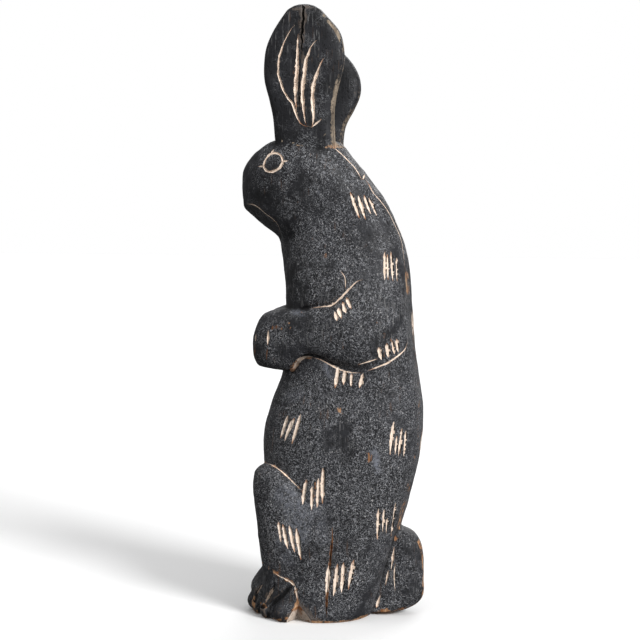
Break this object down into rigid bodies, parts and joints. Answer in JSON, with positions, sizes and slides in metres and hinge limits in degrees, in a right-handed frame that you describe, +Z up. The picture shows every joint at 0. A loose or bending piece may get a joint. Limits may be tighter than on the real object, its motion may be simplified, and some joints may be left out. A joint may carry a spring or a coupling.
{
  "type": "carved wooden rabbit figure",
  "caption": "Standing rabbit carved from a block of wood, upright ears, forepaws held at the chest, blackened surface with pale gouge cuts.",
  "frame": {"origin": "middle of the bounding box on the ground plane, under the figure's flat base", "axes": "+Z up, the figure faces -Y, its left side is +X"},
  "size_m": [0.1214, 0.1698, 0.56],
  "materials": {
    "blackened_wood": "black paint over pale wood, worn matt, with pale bare wood in the gouge cuts and brown worn edges"
  },
  "bodies": {
    "root": {"carved_rabbit": "blackened_wood"}
  },
  "joints": []
}
